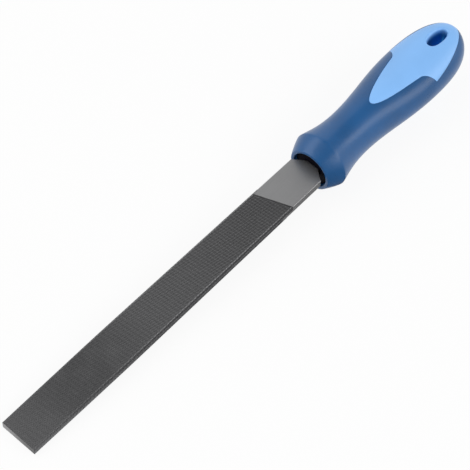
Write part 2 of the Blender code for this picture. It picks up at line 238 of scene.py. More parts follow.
class Wire:
    """A socket in a node tree that takes part in Python arithmetic."""
    __add__, __radd__ = operator("ADD")
    __sub__, __rsub__ = operator("SUBTRACT")
    __mul__, __rmul__ = operator("MULTIPLY")
    __truediv__, __rtruediv__ = operator("DIVIDE")
    __pow__, __rpow__ = operator("POWER")

    def __init__(self, tree, socket=None):
        self.tree = tree
        self.socket = socket

    def node(self, kind, settings=None, sockets=None, output=0):
        """Adds a node: its settings are set first, then its sockets' values or links."""
        made = self.tree.nodes.new(kind)
        for key, value in (settings or {}).items():
            setattr(made, key, value)
        connect(made, sockets or {})
        return Wire(self.tree, made.outputs[output])

    def math(self, operation, *values):
        """Adds a Math node on numbers or wires."""
        return self.node("ShaderNodeMath", {"operation": operation}, dict(enumerate(values)))

    def __abs__(self):
        return self.math("ABSOLUTE", self)

    def sign(self):
        return self.math("SIGN", self)

    def sine(self):
        return self.math("SINE", self)

    def at_least(self, other):
        return self.math("MAXIMUM", self, other)

    def at_most(self, other):
        return self.math("MINIMUM", self, other)

    def step(self, low, high):
        """0 below low, 1 above high and a smooth rise between."""
        return self.node("ShaderNodeMapRange", {"interpolation_type": "SMOOTHSTEP"},
                         {"Value": self, "From Min": low, "From Max": high})

    def place(self):
        """The object's own coordinates, in metres, and their three parts."""
        spot = self.node("ShaderNodeTexCoord", output=3)
        parts = self.node("ShaderNodeSeparateXYZ", sockets={0: spot}).socket.node
        return spot, [Wire(self.tree, parts.outputs[i]) for i in range(3)]

    def stretched(self, spot, scale):
        """A place scaled along each axis by itself."""
        return self.node("ShaderNodeVectorMath", {"operation": "MULTIPLY"}, {0: spot, 1: scale})

    def grain(self, spot, scale, detail=2.0, roughness=0.5):
        """Even noise from 0 to 1."""
        return self.node("ShaderNodeTexNoise", sockets={"Vector": spot, "Scale": scale, "Detail": detail,
                                                        "Roughness": roughness})

    def tint(self, factor, first, second):
        """The first colour, going over to the second with the factor."""
        return self.node("ShaderNodeMix", {"data_type": "RGBA", "clamp_factor": True},
                         {0: factor, 6: opaque(first), 7: opaque(second)}, output=2)

    def bump(self, height, distance, strength):
        """A normal that follows a height."""
        return self.node("ShaderNodeBump", sockets={"Height": height, "Distance": distance,
                                                    "Strength": strength})


def connect(node, sockets):
    """Links wires to a node's sockets, or sets plain values on them."""
    for key, value in sockets.items():
        if isinstance(value, Wire):
            value.tree.links.new(value.socket, node.inputs[key])
        else:
            node.inputs[key].default_value = value


def opaque(tint):
    """A colour with full alpha, or a wire as it is."""
    return tint if isinstance(tint, Wire) else (*tint, 1.0)


def scaled(tint, factor):
    """A colour made lighter or darker."""
    return tuple(part * factor for part in tint)


def blend(first, last, part):
    """From first to last as part goes from 0 to 1, for numbers, arrays or wires."""
    return first + (last - first) * part


def new_finish(name):
    """A material with its Principled shader, and a wire to build on."""
    material = bpy.data.materials.new(name)
    material.use_nodes = True
    return material, material.node_tree.nodes["Principled BSDF"], Wire(material.node_tree)


# Shapes that the blade and the handle share


def add_object(name, data):
    """Puts a mesh, a lamp or a camera in the scene."""
    made = bpy.data.objects.new(name, data)
    bpy.context.scene.collection.objects.link(made)
    return made


def new_piece(name, mesh, material, node, sharp):
    """Puts a mesh in the scene as the visual piece for a CAD node, with edges over sharp degrees crisp."""
    mesh.materials.append(material)
    mesh.shade_smooth()
    mesh.set_sharp_from_angle(angle=math.radians(sharp))
    piece = add_object(name, mesh)
    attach(piece, "root")
    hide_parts(node)


def mesh_from(name, shape):
    """Turns a shape into a mesh and frees the shape."""
    mesh = bpy.data.meshes.new(name)
    shape.to_mesh(mesh)
    shape.free()
    return mesh


def join(shape, part):
    """Adds one shape to another and frees the part."""
    mesh = mesh_from("part", part)
    shape.from_mesh(mesh)
    bpy.data.meshes.remove(mesh)


def add_grid(shape, rows, closed=False, flip=False):
    """Adds quads between rows of points, given as an array of rows by points by xyz."""
    verts = [[shape.verts.new(point) for point in row] for row in rows]
    count = len(verts[0])
    for first, second in zip(verts, verts[1:]):
        for i in range(count if closed else count - 1):
            j = (i + 1) % count
            corners = (first[i], first[j], second[j], second[i])
            shape.faces.new(corners[::-1] if flip else corners)
    return verts


def weld(shape):
    """Merges points that coincide and turns all faces outward."""
    bmesh.ops.remove_doubles(shape, verts=shape.verts, dist=WELD)
    bmesh.ops.recalc_face_normals(shape, faces=shape.faces)


def tapered_bar(first, last, near, far):
    """A bar along X whose width and height go from the near pair to the far one."""
    bar = bmesh.new()
    bmesh.ops.create_cube(bar, size=1.0)
    for vert in bar.verts:
        x, (width, height) = (first, near) if vert.co.x < 0.0 else (last, far)
        vert.co = (x, vert.co.y * width, vert.co.z * height)
    return bar


def full_turn(count):
    """Evenly spaced angles once round."""
    return np.linspace(0.0, 2.0 * np.pi, count, endpoint=False)


def ring(x, radius, turns):
    """Points round the X axis, at a radius that may change with the turn."""
    return np.stack((np.full_like(turns, x), radius * np.cos(turns), radius * np.sin(turns)), axis=1)


def rounding(radius, turns):
    """Offsets from both sides of a corner along the round that replaces it."""
    return [(radius * (1.0 - math.cos(t)), radius * (1.0 - math.sin(t))) for t in turns]


def ease(value):
    """From 0 to 1 with level ends."""
    return 0.5 - 0.5 * np.cos(np.pi * np.clip(value, 0.0, 1.0))


def fall(value, curve):
    """From 1 to 0 along a quarter of a superellipse."""
    return np.maximum(0.0, 1.0 - np.clip(value, 0.0, 1.0) ** curve) ** (1.0 / curve)


def superellipse(turns, squareness):
    """Points of a unit superellipse: a circle at a squareness of 2, boxier above it."""
    first, second = np.cos(turns), np.sin(turns)
    return (np.sign(first) * np.abs(first) ** (2.0 / squareness),
            np.sign(second) * np.abs(second) ** (2.0 / squareness))


# Blade


class BladeForm:
    """Places and surfaces of the blade."""

    def __init__(self, s):
        self.s = s
        self.tip = BLADE_LOW[0]
        self.shoulder = self.tip + s.blade_length
        self.slope = self.shoulder - s.shoulder_slope
        self.cut_end = self.shoulder - s.heel_length
        self.cut_length = self.cut_end - self.tip
        self.middle = 0.5 * (self.tip + self.cut_end)
        self.belly = self.tip + s.belly_from_tip
        self.half_width = BLADE_HIGH[1] + s.burr
        self.half_thickness = BLADE_HIGH[2]
        self.thinning = self.half_thickness - 0.5 * s.tip_thickness
        self.slant = math.tan(s.upcut_lean)
        self.cross = math.tan(s.overcut_lean)

    def edge(self, x):
        """Half width of the blade's plan at x."""
        s = self.s
        return np.interp(x, (self.tip, self.belly, self.slope, self.shoulder),
                         (0.5 * s.tip_width, self.half_width, 0.5 * s.heel_width, 0.5 * s.tang_width))

    def crest(self, x):
        """Half thickness over the tooth crests."""
        toward_tip = np.maximum(0.0, (self.middle - x) / (self.middle - self.tip))
        return self.half_thickness - self.thinning * toward_tip ** 2

    def side_planes(self, inset):
        """Points and outward directions of the four planes that bound the cut faces' long sides."""
        planes = []
        for x_1, x_2 in ((self.tip, self.belly), (self.belly, self.slope)):
            run = Vector((x_2 - x_1, self.edge(x_2) - self.edge(x_1), 0.0)).normalized()
            for side in (1.0, -1.0):
                planes.append((Vector((x_1, side * (self.edge(x_1) - inset), 0.0)),
                               Vector((-run.y, side * run.x, 0.0))))
        return planes


def cut_lines(first, last, pitch, shares):
    """Places of a row of cuts that ends at last, with a sample at each share of the pitch."""
    count = math.ceil((last - first) / pitch)
    starts = last - pitch * np.arange(count, 0, -1)
    places = (starts[:, None] + pitch * np.array(shares)[None, :]).ravel()
    return np.append(places, last), np.append(np.tile(np.arange(len(shares)), count), 0)


def tooth_lattice(form, spare):
    """Points of the double-cut upper face, on lines along both rows of cuts that run past its outline."""
    s = form.s
    reach = form.half_width + spare
    up, up_kind = cut_lines(form.tip - reach * form.slant, form.cut_end, s.upcut_pitch, (0.0, s.upcut_face))
    over, over_kind = cut_lines(form.tip - reach * form.cross,
                                form.cut_end + reach * (form.cross + 2.0 * form.slant),
                                s.overcut_pitch, (0.0, s.overcut_rise, s.overcut_fall))
    up_grid, over_grid = np.meshgrid(up, over, indexing="ij")
    x = (up_grid * form.cross + over_grid * form.slant) / (form.slant + form.cross)
    y = (up_grid - over_grid) / (form.slant + form.cross)
    root = np.where(up_kind == 0, s.upcut_depth, 0.0)[:, None]
    crossing = np.where(over_kind == 0, s.overcut_depth, 0.0)[None, :]
    worn = np.clip((form.cut_end - x) / form.cut_length, 0.0, 1.0)
    z = form.crest(x) - np.maximum(root, crossing) * (1.0 - s.tip_wear * worn)
    z[-1, :] = 0.5 * s.heel_thickness
    return np.stack((x, y, z), axis=-1)


def add_tooth_face(shape, form):
    """The double-cut upper face, trimmed to the blade's outline, with walls down to the middle plane."""
    spare = 2.0 * MM
    points = tooth_lattice(form, spare)
    wanted = (np.abs(points[..., 1]) < form.half_width + spare) & (points[..., 0] > form.tip - spare)
    used = wanted[:-1, :-1] | wanted[1:, :-1] | wanted[:-1, 1:] | wanted[1:, 1:]
    verts = {}

    def corner(i, j):
        if (i, j) not in verts:
            verts[i, j] = shape.verts.new(points[i, j])
        return verts[i, j]

    for i, j in zip(*np.nonzero(used)):
        shape.faces.new((corner(i, j), corner(i, j + 1), corner(i + 1, j + 1), corner(i + 1, j)))
    end_plane = (Vector((form.tip, 0.0, 0.0)), Vector((-1.0, 0.0, 0.0)))
    planes = [end_plane] + form.side_planes(form.s.edge_depth)
    for point, outward in planes:
        everything = shape.verts[:] + shape.edges[:] + shape.faces[:]
        bmesh.ops.bisect_plane(shape, geom=everything, dist=0.0001 * MM, plane_co=point, plane_no=outward,
                               clear_outer=True)
    border = [edge for edge in shape.edges if edge.is_boundary]
    made = bmesh.ops.extrude_edge_only(shape, edges=border)
    for item in made["geom"]:
        if isinstance(item, bmesh.types.BMVert):
            item.co.z = 0.0


def add_heel(shape, form):
    """The plain heel's upper half with its sloped shoulders and softly broken edges."""
    s = form.s
    cut_half = form.edge(form.cut_end)
    shoulder = [(x, form.edge(x)) for x in (form.slope, form.shoulder)]
    outline = [(form.cut_end - cut_half * form.slant, cut_half)] + shoulder
    outline += [(x, -y) for x, y in reversed(shoulder)] + [(form.cut_end + cut_half * form.slant, -cut_half)]
    heel = bmesh.new()
    base = [heel.verts.new((x, y, 0.0)) for x, y in outline]
    top = [heel.verts.new((x, y, 0.5 * s.heel_thickness)) for x, y in outline]
    heel.faces.new(top[::-1])
    for i in range(len(outline)):
        heel.faces.new((base[i], base[i - 1], top[i - 1], top[i]))
    ends = {edge: set(edge.verts) for edge in heel.edges}
    rounded = [edge for edge in heel.edges if ends[edge] <= set(top) and ends[edge] != {top[0], top[-1]}]
    bmesh.ops.bevel(heel, geom=rounded, offset=s.edge_break, segments=3, profile=0.5, affect="EDGES")
    join(shape, heel)


def add_edge_teeth(shape, form):
    """Rows of single-cut teeth along the two narrow edges of the cut part."""
    s = form.s
    bevel = 0.12 * MM
    x, kind = cut_lines(form.tip, form.cut_end - 0.5 * s.edge_pitch, s.edge_pitch, (0.0, s.edge_face))
    keep = x >= form.tip - 0.001 * MM
    x, kind = np.append(form.tip, x[keep]), np.append(0, kind[keep])
    wall = form.edge(x) - s.edge_depth
    face = np.where(kind == 1, form.edge(x), wall)
    lean = np.where(kind == 1, 0.25 * s.edge_pitch, 0.0)
    top = form.crest(x) - 0.25 * s.upcut_depth
    for side in (1.0, -1.0):
        lines = [(x, wall, top), (x + lean, face, top - bevel),
                 (x - lean, face, bevel - top), (x, wall, -top)]
        rows = [np.stack((along, side * across, up), axis=1) for along, across, up in lines]
        add_grid(shape, rows, flip=side > 0.0)


def add_tang(shape, form):
    """The tapered tang, hidden in the handle, with its corners broken."""
    s = form.s
    tang = tapered_bar(form.slope, BLADE_HIGH[0], (s.tang_width, s.tang_thickness),
                       (s.tang_end_width, s.tang_end_thickness))
    bmesh.ops.bevel(tang, geom=tang.edges[:], offset=s.tang_break, segments=2, profile=0.5, affect="EDGES")
    join(shape, tang)


def blade_mesh(s):
    """The blade: two like halves back to back, with the teeth of the narrow edges and the tang."""
    form = BladeForm(s)
    shape = bmesh.new()
    add_tooth_face(shape, form)
    add_heel(shape, form)
    upper = mesh_from("upper_half", shape)
    shape = bmesh.new()
    shape.from_mesh(upper)
    upper.transform(Matrix.Rotation(math.pi, 4, "X"))
    shape.from_mesh(upper)
    bpy.data.meshes.remove(upper)
    add_edge_teeth(shape, form)
    add_tang(shape, form)
    bmesh.ops.recalc_face_normals(shape, faces=shape.faces)
    return mesh_from("file_blade_steel", shape)


class SteelMap:
    """Wires over the blade's surface, and the colours of its steel made from them."""

    def __init__(self, wire, form):
        s = form.s
        self.wire, self.form = wire, form
        spot, (self.x, self.y, self.z) = wire.place()
        face = self.z.sign()
        self.row = self.x + self.y * face * form.slant
        self.behind = form.cut_end - self.x - s.band_lean * self.y * face
        self.cut = (form.cut_end - self.row).step(-0.1 * MM, 0.1 * MM)
        self.worn = ((form.cut_end - self.x) / form.cut_length).step(0.15, 1.0)
        past_belly = self.x - form.belly
        rise = (form.half_width - 0.5 * s.tip_width) / s.belly_from_tip
        drop = (form.half_width - 0.5 * s.heel_width) / (form.slope - form.belly)
        edge = (form.half_width + past_belly * rise).at_most(form.half_width - past_belly * drop)
        self.inset = edge - abs(self.y)
        self.cloud = wire.grain(spot, 55.0, 4.0, 0.6)
        self.fleck = wire.grain(spot, 900.0)
        self.streak = wire.grain(wire.stretched(spot, (60.0, 2600.0, 2600.0)), 1.0, 3.0, 0.6)

    def heel(self):
        """Ground steel with fine streaks and faint clouds."""
        tint, bright = self.wire.tint, self.form.s.heel_colour
        base = tint(self.streak, scaled(bright, 0.93), scaled(bright, 1.06))
        return tint(self.cloud.step(0.35, 0.75) * 0.35, base, scaled(bright, 0.86))

    def polish(self):
        """How bright the teeth are: 1 on the crests and 0 in the roots, evened out where they are worn."""
        form = self.form
        toward_tip = ((form.middle - self.x) / (form.middle - form.tip)).at_least(0.0)
        crest = form.half_thickness - form.thinning * toward_tip * toward_tip
        depth = (crest - abs(self.z)) / form.s.upcut_depth
        return blend((1.0 - depth).step(0.15, 1.0), 0.5, self.worn)

    def bands(self):
        """The faint bands across the teeth, from 0 to 1."""
        s = self.form.s
        spread = 1.0 - s.band_spread / self.form.cut_length * self.behind
        return 0.5 + 0.5 * (self.behind * spread * (2.0 * math.pi / s.band_pitch)).sine()

    def teeth(self):
        """Hardened steel with clouds, a stain, flecks and bands, painted shade in the last cut before the
        heel, and a bright burr that is partly a painted highlight.
        """
        form, s, tint = self.form, self.form.s, self.wire.tint
        polish, bands, worn = self.polish(), self.bands(), self.worn
        base = tint(polish, s.root_colour, s.cut_colour)
        base = tint(self.cloud.step(0.3, 0.8) * 0.4, base, scaled(s.cut_colour, 0.75))
        stain_middle, stain_reach = 0.5 * (form.tip + form.middle), 45.0 * MM
        stain = (1.0 - abs(self.x - stain_middle) / stain_reach).step(0.0, 0.9)
        base = tint(stain * self.cloud.step(0.2, 0.6) * 0.55, base, scaled(s.root_colour, 0.9))
        base = tint(self.fleck.step(0.62, 0.8) * 0.3 * polish, base, scaled(s.cut_colour, 1.5))
        base = tint((s.band_depth - s.band_fade / form.cut_length * self.behind) * bands, base, BLACK)
        base = tint(0.12 + 0.14 * worn, base, BLACK)
        # Painted shade: the root of the last cut before the heel is darkened as if it lay in shade.
        last_cut_shade = (self.row - form.cut_end + 0.9 * MM).step(0.0, 0.5 * MM)
        base = tint(0.4 * last_cut_shade, base, BLACK)
        # The burr is real, but its bright band along the long edges is partly a painted highlight.
        burr = (s.edge_depth + s.burr_highlight_width - self.inset).step(0.0, 0.3 * MM)
        return tint(burr * (0.2 + 0.6 * bands) * (1.0 - 0.8 * worn), base, scaled(s.cut_colour, 1.8))

    def narrow_edge(self):
        """Scaled steel with a paler line along the middle, and beside the heel ground steel made paler than
        the heel's top as painted light.
        """
        s, tint = self.form.s, self.wire.tint
        base = tint(self.streak, scaled(s.side_colour, 0.85), scaled(s.side_colour, 1.15))
        line = (0.9 * MM - abs(self.z)).step(0.0, 0.5 * MM)
        base = tint(line * (0.8 - 0.7 * self.worn), base, scaled(s.side_colour, 2.2))
        # Painted light: the heel's flank is lighter than its top, to take away the shade on it.
        return tint(self.cut, scaled(s.heel_colour, 1.2), base)

    def end_face_painted_light(self):
        """Ground steel of the tip with painted light and shade across it: dark on the -Y side, paler towards
        the +Y side.
        """
        across = (0.5 + 0.5 * self.y / self.form.half_width).step(0.1, 1.0)
        bright = self.form.s.heel_colour
        return self.wire.tint(across, scaled(bright, 0.28), scaled(bright, 0.85))


def steel_finish(s):
    """Ground steel on the heel, and darker hardened steel with brighter crests where it is cut."""
    form = BladeForm(s)
    material, shader, wire = new_finish("hardened_steel")
    steel = SteelMap(wire, form)
    cut, cloud, streak = steel.cut, steel.cloud, steel.streak
    base = wire.tint(cut, steel.heel(), steel.teeth())
    on_edge = (1.2 * s.edge_depth - steel.inset).step(0.0, 0.03 * MM)
    base = wire.tint(on_edge, base, steel.narrow_edge())
    # Painted light and shade across the tip's end face.
    on_end = (form.tip + 0.06 * MM - steel.x).step(0.0, 0.03 * MM)
    base = wire.tint(on_end, base, steel.end_face_painted_light())
    connect(shader, {"Base Color": base, "Metallic": 0.9 - 0.15 * cut,
                     "Roughness": 0.40 + 0.04 * cut + 0.10 * (cloud - 0.5) + 0.08 * (streak - 0.5),
                     "Normal": wire.bump(streak + 0.4 * steel.fleck, 0.012 * MM, 0.6)})
    return material


# Handle


class HandleForm:
    """Sections of the handle and the outline of the window in its grip."""

    def __init__(self, s):
        self.s = s
        self.rim = GRIP_LOW[0]
        self.lip = self.rim + s.rim_roll
        self.butt = GRIP_HIGH[0]
        self.middle = 0.5 * (self.rim + self.butt)
        self.flange = self.rim + s.flange_from_rim
        self.waist = self.rim + s.waist_from_rim
        self.bulge = self.rim + s.bulge_from_rim
        self.hole = self.butt - s.hole_from_butt

    def section(self, x, inset=0.0):
        """Half width, half height and squareness of the handle at x, drawn in by inset."""
        s = self.s
        x = np.asarray(x, dtype=float)
        butt = self.butt - inset
        up_nose = fall((self.flange - x) / s.flange_from_rim, s.nose_power)
        nose = blend(s.rim_radius, s.flange_radius, up_nose)
        down_neck = np.clip((x - self.flange) / (self.waist - self.flange), 0.0, 1.0)
        neck = blend(s.flange_radius, s.waist_radius, ease(down_neck ** s.neck_power))
        front = np.where(x < self.flange, nose, neck) - inset
        swell = ease((x - self.waist) / (self.bulge - self.waist))
        end = (x - self.bulge) / (butt - self.bulge)
        wide = (blend(s.waist_radius, s.bulge_half_width, swell) - inset) * fall(end, s.butt_power)
        high = (blend(s.waist_radius, s.bulge_half_height, swell) - inset) * fall(end, s.crown_power)
        boxiness = ease((x - self.waist) / (butt - self.waist))
        return (np.where(x < self.waist, front, wide), np.where(x < self.waist, front, high),
                blend(s.round_power, s.boxy_power, boxiness))

    def points(self, x, turn, inset=0.0):
        """Points of the handle's surface at x, turned from the +Y side up to the top."""
        half_width, half_height, squareness = self.section(x, inset)
        across, up = superellipse(turn, squareness)
        return np.stack(np.broadcast_arrays(x, half_width * across, half_height * up), axis=-1)

    def turn_at(self, x, y):
        """The turn at which the upper surface is y away from the middle."""
        half_width, _, squareness = self.section(x)
        ratio = np.zeros_like(half_width * y)
        np.divide(y, half_width, out=ratio, where=half_width > NEGLIGIBLE)
        return np.arccos(np.clip(ratio, 0.0, 1.0) ** (0.5 * squareness))

    def upper(self, x, y):
        """Points of the upper surface at x, y away from the middle on the +Y side."""
        return self.points(x, self.turn_at(x, y))

    def window_places(self, growth):
        """Where the window's tip, lobes, corners and end lie, with the window grown by growth."""
        s = self.s
        return (self.rim + s.window_tip - growth, self.rim + s.window_lobe, self.rim + s.window_corner,
                self.butt - s.window_end + growth)

    def window(self, x, growth=0.0):
        """Half width of the window at x, grown all round by growth."""
        s = self.s
        tip, lobe, corner, end = self.window_places(growth)
        neck, wide = s.window_neck + growth, s.window_width + growth
        root = np.sqrt(np.clip((x - tip) / (lobe - tip), 0.0, 1.0))
        tongue = neck * blend(root ** 2, root, s.tongue_bluntness)
        slope = neck * (1.0 - 0.5 * s.tongue_bluntness) / (lobe - tip)
        reach = np.clip(x - lobe, 0.0, corner - lobe)
        rise = wide - neck - slope * (corner - lobe)
        flare = neck + slope * reach + rise * (reach / (corner - lobe)) ** s.lobe_power
        run = np.clip((x - corner) / (end - corner), 0.0, 1.0)
        band = wide * blend(1.0 - run, np.sqrt(1.0 - run ** 2), s.band_bluntness)
        inside = (x > tip) & (x < end)
        return np.where(inside, np.where(x < lobe, tongue, np.where(x < corner, flare, band)), 0.0)

    def window_stations(self, growth=0.0):
        """Places along the window, closer together at its tip, lobes and end."""
        tip, lobe, corner, end = self.window_places(growth)
        spread = np.linspace(0.0, 1.0, 31)
        return np.unique(np.concatenate((blend(tip, lobe, spread ** 2.2),
                                         blend(corner, lobe, spread[::2] ** 1.5),
                                         blend(corner, end, np.sin(0.5 * np.pi * spread) ** 1.2))))

    def front_stations(self):
        """Places from the rolled rim to the window's tip."""
        nose = blend(self.lip, self.flange, ease(np.linspace(0.0, 1.0, 17)))
        neck = np.linspace(self.flange, self.rim + self.s.window_tip, 33)
        return np.unique(np.concatenate((nose, neck[:-1])))

    def butt_stations(self, first, inset=0.0):
        """Places from first to the butt, closer together towards the end."""
        return blend(first, self.butt - inset, np.sin(0.5 * np.pi * np.linspace(0.0, 1.0, 16)))


def seat(shape, form):
    """Turns a piece of the handle slightly sideways, as the handle sits on the tang."""
    bmesh.ops.rotate(shape, cent=(form.middle, 0.0, 0.0), matrix=Matrix.Rotation(form.s.yaw, 3, "Z"),
                     verts=shape.verts)


def twist(shape, form):
    """Turns the waist one way and the palm swell the other about the handle's axis."""
    s = form.s
    for vert in shape.verts:
        swell = ease((vert.co.x - form.waist) / (form.bulge - form.waist))
        vert.co = Matrix.Rotation(-blend(s.tongue_roll, s.roll, swell), 3, "X") @ vert.co


def seam_profile(s):
    """Sideways and inward offsets across the seam's round, from the wall's foot up to the surface."""
    return [(0.0, s.grip_wall)] + rounding(s.seam_round, np.linspace(0.0, 0.5 * np.pi, 5))


def grip_mesh(s):
    """The soft grip: two sides that meet before and behind the window, with rounded seam edges."""
    form = HandleForm(s)
    growth = s.seat_gap
    behind_window = form.window_places(growth)[-1] + 0.01 * MM
    x = np.unique(np.concatenate((form.front_stations(), form.window_stations(growth),
                                  form.butt_stations(behind_window)[1:])))
    window = form.window(x, growth)
    walled = (window > 0.0) & (form.section(x)[1] > s.grip_wall)
    profile = seam_profile(s)
    columns = []
    for sideways, inward in profile:
        column = form.upper(x, window + np.minimum(sideways, window))
        column[:, 2] -= np.where(walled, inward, 0.0)
        columns.append(column)
    top = form.turn_at(x, window + np.minimum(profile[-1][0], window))
    middle = [form.points(x, top * part) for part in np.linspace(1.0, -1.0, 49)[1:-1]]
    below = [column * MIRROR_Z for column in reversed(columns)]
    sheet = np.stack(columns + middle + below, axis=1)
    shape = bmesh.new()
    add_grid(shape, sheet)
    add_grid(shape, sheet * MIRROR_Y, flip=True)
    add_mouth(shape, form)
    weld(shape)
    twist(shape, form)
    seat(shape, form)
    return mesh_from("soft_grip_rubber", shape)


def add_mouth(shape, form):
    """The rolled rim of the mouth and the bore behind it."""
    s = form.s
    outer = form.section(form.lip)[0]
    middle, half = 0.5 * (outer + s.mouth_radius), 0.5 * (outer - s.mouth_radius)
    profile = [(form.lip - s.rim_roll * math.sin(t), middle + half * math.cos(t))
               for t in np.linspace(0.0, np.pi, 13)]
    profile += [(form.lip + part * s.mouth_depth, s.mouth_radius) for part in (0.125, 0.5, 1.0)]
    turns = full_turn(96)
    add_grid(shape, [ring(x, radius, turns) for x, radius in profile], closed=True)


def closed_loft(name, rows):
    """A closed solid through rings of points, with its two ends filled."""
    shape = bmesh.new()
    verts = add_grid(shape, rows, closed=True)
    for end in (verts[0], verts[-1]):
        shape.faces.new(end)
    bmesh.ops.recalc_face_normals(shape, faces=shape.faces)
    return mesh_from(name, shape)


def core_body(form):
    """The core under the grip, from behind the collar to the butt."""
    s = form.s
    front = np.linspace(COLLAR_HIGH[0] + s.seat_gap, form.bulge, 40)[:-1]
    back = form.butt_stations(form.bulge, s.grip_wall)[:-1]
    turns = full_turn(72)
    rows = [form.points(np.full_like(turns, x), turns, s.grip_wall) for x in np.append(front, back)]
    return closed_loft("core_body", rows)


def window_block(form, side):
    """The light face that shows in the window, as a block that stands on the core."""
    s = form.s
    narrowest, foot_height, foot_share = 0.2 * MM, 2.0 * MM, 0.9
    x = form.window_stations()
    x = x[form.window(x) > narrowest]
    window = form.window(x)
    profile = seam_profile(s)
    near = []
    for sideways, inward in profile:
        points = form.upper(x, window - np.minimum(sideways, 0.5 * window))
        points[:, 2] -= inward
        near.append(points)
    face = window - np.minimum(profile[-1][0], 0.5 * window)
    near += [form.upper(x, part * face) for part in np.linspace(1.0, 0.0, 21)[1:]]
    far = [points * MIRROR_Y for points in reversed(near[:-1])]
    foot = [np.stack((x, edge * window, np.full_like(x, foot_height)), axis=1)
            for edge in (-foot_share, foot_share)]
    rows = np.stack(near + far + foot, axis=1) * np.array((1.0, 1.0, side))
    return closed_loft("window_block", rows)


def hole_form(form):
    """What the hanging hole takes away, with rounded rims that follow the butt's crown."""
    s = form.s
    clear = 2.0 * MM
    rims = rounding(s.hole_rounding, np.radians((0.0, 12.0, 25.0, 38.0, 50.0, 62.0, 75.0)))
    rims.append((rims[-1][0], -clear))
    along, across = superellipse(full_turn(64), s.hole_power)
    rows = []
    for side, order in ((-1.0, rims[::-1]), (1.0, rims)):
        for growth, inward in order:
            x = form.hole + (0.5 * s.hole_length + growth) * along
            y = (0.5 * s.hole_width + growth) * across
            z = form.upper(x, np.abs(y))[:, 2] - inward
            rows.append(np.stack((x, y, side * z), axis=1))
    return closed_loft("hanging_hole", rows)


def tang_room(s):
    """The socket that the tang is driven into."""
    lead = 2.0 * MM
    room = tapered_bar(COLLAR_LOW[0] - lead, BLADE_HIGH[0] + s.seat_gap, (s.socket_width, s.socket_height),
                       (s.socket_end_width, s.socket_end_height))
    return mesh_from("tang_room", room)


def combine(name, base, steps):
    """The base mesh after a row of Boolean joins and cuts with other meshes."""
    target = add_object(name, base)
    others = []
    for operation, mesh in steps:
        others.append(add_object(mesh.name, mesh))
        modifier = target.modifiers.new(mesh.name, "BOOLEAN")
        modifier.operation = operation
        modifier.solver = "EXACT"
        modifier.object = others[-1]
    graph = bpy.context.evaluated_depsgraph_get()
    result = bpy.data.meshes.new_from_object(target.evaluated_get(graph))
    for used in [target] + others:
        bpy.data.objects.remove(used, do_unlink=True)
    return result


def core_mesh(s):
    """The core: its body and light faces with the hanging hole, turned with the grip, and the socket."""
    form = HandleForm(s)
    steps = [("UNION", window_block(form, 1.0)), ("UNION", window_block(form, -1.0)),
             ("DIFFERENCE", hole_form(form))]
    solid = combine("handle_core_plastic", core_body(form), steps)
    shape = bmesh.new()
    shape.from_mesh(solid)
    twist(shape, form)
    seat(shape, form)
    shape.to_mesh(solid)
    shape.free()
    return combine("handle_core_plastic", solid, [("DIFFERENCE", tang_room(s))])


def collar_mesh(s):
    """The collar: a turned ring with softly rounded edges and the tang's slot through it."""
    front, back, radius = COLLAR_LOW[0], COLLAR_HIGH[0], COLLAR_HIGH[1]
    corner = rounding(s.collar_round, np.linspace(0.0, 0.5 * np.pi, 7))
    outside = [(front + along, radius - inward) for inward, along in reversed(corner)]
    outside += [(back - along, radius - inward) for inward, along in corner]
    turns = full_turn(120)
    slot = 0.5 / np.maximum(np.abs(np.cos(turns)) / s.slot_width, np.abs(np.sin(turns)) / s.slot_height)
    inside = [(back, slot), (front + s.slot_break, slot), (front, slot + s.slot_break)]
    shape = bmesh.new()
    add_grid(shape, [ring(x, size, turns) for x, size in inside + outside + inside[:1]], closed=True)
    weld(shape)
    seat(shape, HandleForm(s))
    return mesh_from("mouth_collar_plastic", shape)


def grip_finish(s):
    """Dark-blue soft rubber: a fine moulded grain with slightly worn, paler high spots."""
    material, shader, wire = new_finish("dark_blue_rubber")
    spot, _ = wire.place()
    cloud = wire.grain(spot, 42.0, 4.0, 0.55)
    grain = wire.grain(spot, 2600.0, 2.0, 0.6)
    pore = wire.grain(spot, 7000.0, 1.0)
    base = wire.tint(cloud.step(0.3, 0.75), scaled(s.grip_colour, 0.9), scaled(s.grip_colour, 1.12))
    base = wire.tint(grain.step(0.55, 0.8) * 0.25, base, scaled(s.grip_colour, 1.5))
    connect(shader, {"Base Color": base,
                     "Roughness": 0.30 + 0.10 * (cloud - 0.5) + 0.12 * (grain - 0.5),
                     "Normal": wire.bump(grain + 0.5 * pore, 0.02 * MM, 0.5)})
    return material


def hole_shade_mask(form, x, y, z):
    """How deep in the hanging hole a place on the core lies, from 0 to 1: the mask of the painted shade in
    the hole.
    """
    s = form.s
    half_length, half_width = 0.5 * s.hole_length, 0.5 * s.hole_width
    aside = y - s.roll * z - s.yaw * (x - form.middle)
    oval = (abs(x - form.hole) / half_length) ** s.hole_power + (abs(aside) / half_width) ** s.hole_power
    outside = (oval ** (1.0 / s.hole_power) - 1.0) * half_width
    ahead, behind = (float(form.section(form.hole + step)[1]) for step in (-half_width, half_width))
    crown = blend(ahead, behind, (x - form.hole) / s.hole_width + 0.5)
    return (1.0 * MM - outside).step(0.0, 0.5 * MM) * (crown - abs(z)).step(0.4 * MM, 6.0 * MM)


